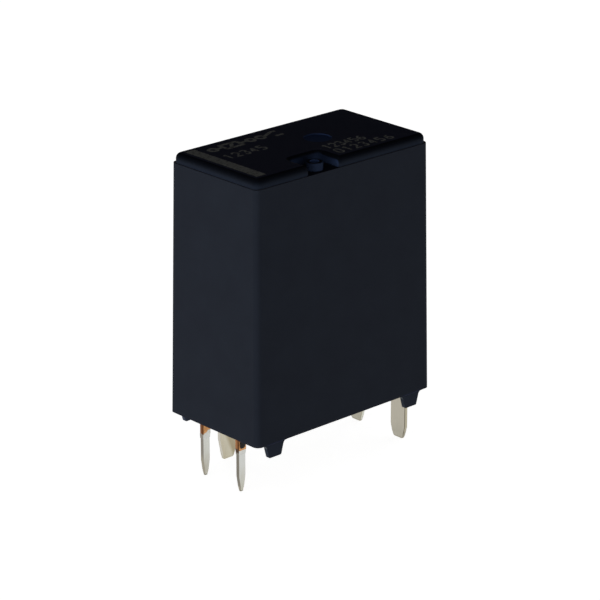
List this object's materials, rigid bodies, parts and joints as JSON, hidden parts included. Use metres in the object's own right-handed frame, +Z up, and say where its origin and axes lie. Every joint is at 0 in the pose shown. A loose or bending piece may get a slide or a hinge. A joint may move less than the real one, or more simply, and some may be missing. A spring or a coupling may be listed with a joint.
{
  "type": "relay",
  "caption": "Tall sealed board-mount relay: a black stepped cover on four feet, two coil pins, three contact blades, and a hinged armature inside that switches a changeover contact.",
  "frame": {"origin": "centre of the cover's outline on the seating plane, which the undersides of the four feet define", "axes": "+Z up through the cap, +X to the end with the two contact blades, -X to the end with the coil pins, -Y to the long side with the cap's notch"},
  "size_m": [0.0224, 0.0126, 0.0315],
  "materials": {
    "cover_plastic": "fine-textured moulding, black",
    "base_plastic": "moulded, black",
    "resin": "cast sealing resin",
    "bobbin_plastic": "moulded, natural",
    "coil_wire": "enamelled copper wire",
    "solder": "solder",
    "tinned_copper": "tin plated copper alloy",
    "soft_iron": "nickel plated soft iron",
    "spring_alloy": "rolled copper alloy",
    "contact_silver": "silver alloy",
    "rivet_steel": "plated"
  },
  "bodies": {
    "housing": {"cover": "cover_plastic", "base": "base_plastic", "sealing_resin": "resin", "coil_terminal_front": "tinned_copper", "coil_terminal_rear": "tinned_copper", "coil_winding": "coil_wire", "coil_solder": "solder", "common_terminal": "tinned_copper", "no_terminal": "tinned_copper", "nc_terminal": "tinned_copper", "no_contact": "contact_silver", "nc_contact": "contact_silver", "yoke": "soft_iron", "core": "soft_iron", "bobbin": "bobbin_plastic", "yoke_rivets": "rivet_steel"},
    "armature": {"armature": "soft_iron", "contact_spring": "spring_alloy", "moving_contact": "contact_silver", "armature_rivets": "rivet_steel"}
  },
  "joints": [
    {"name": "armature_hinge", "type": "hinge", "parent": "housing", "child": "armature", "pos_m": [-0.0095, 0, 0.02103], "axis": [0, 1, 0], "range_deg": [0, 4], "stiffness_Nm_per_rad": 0.002, "springref_deg": -28.65, "deforming": ["contact_spring"]}
  ]
}
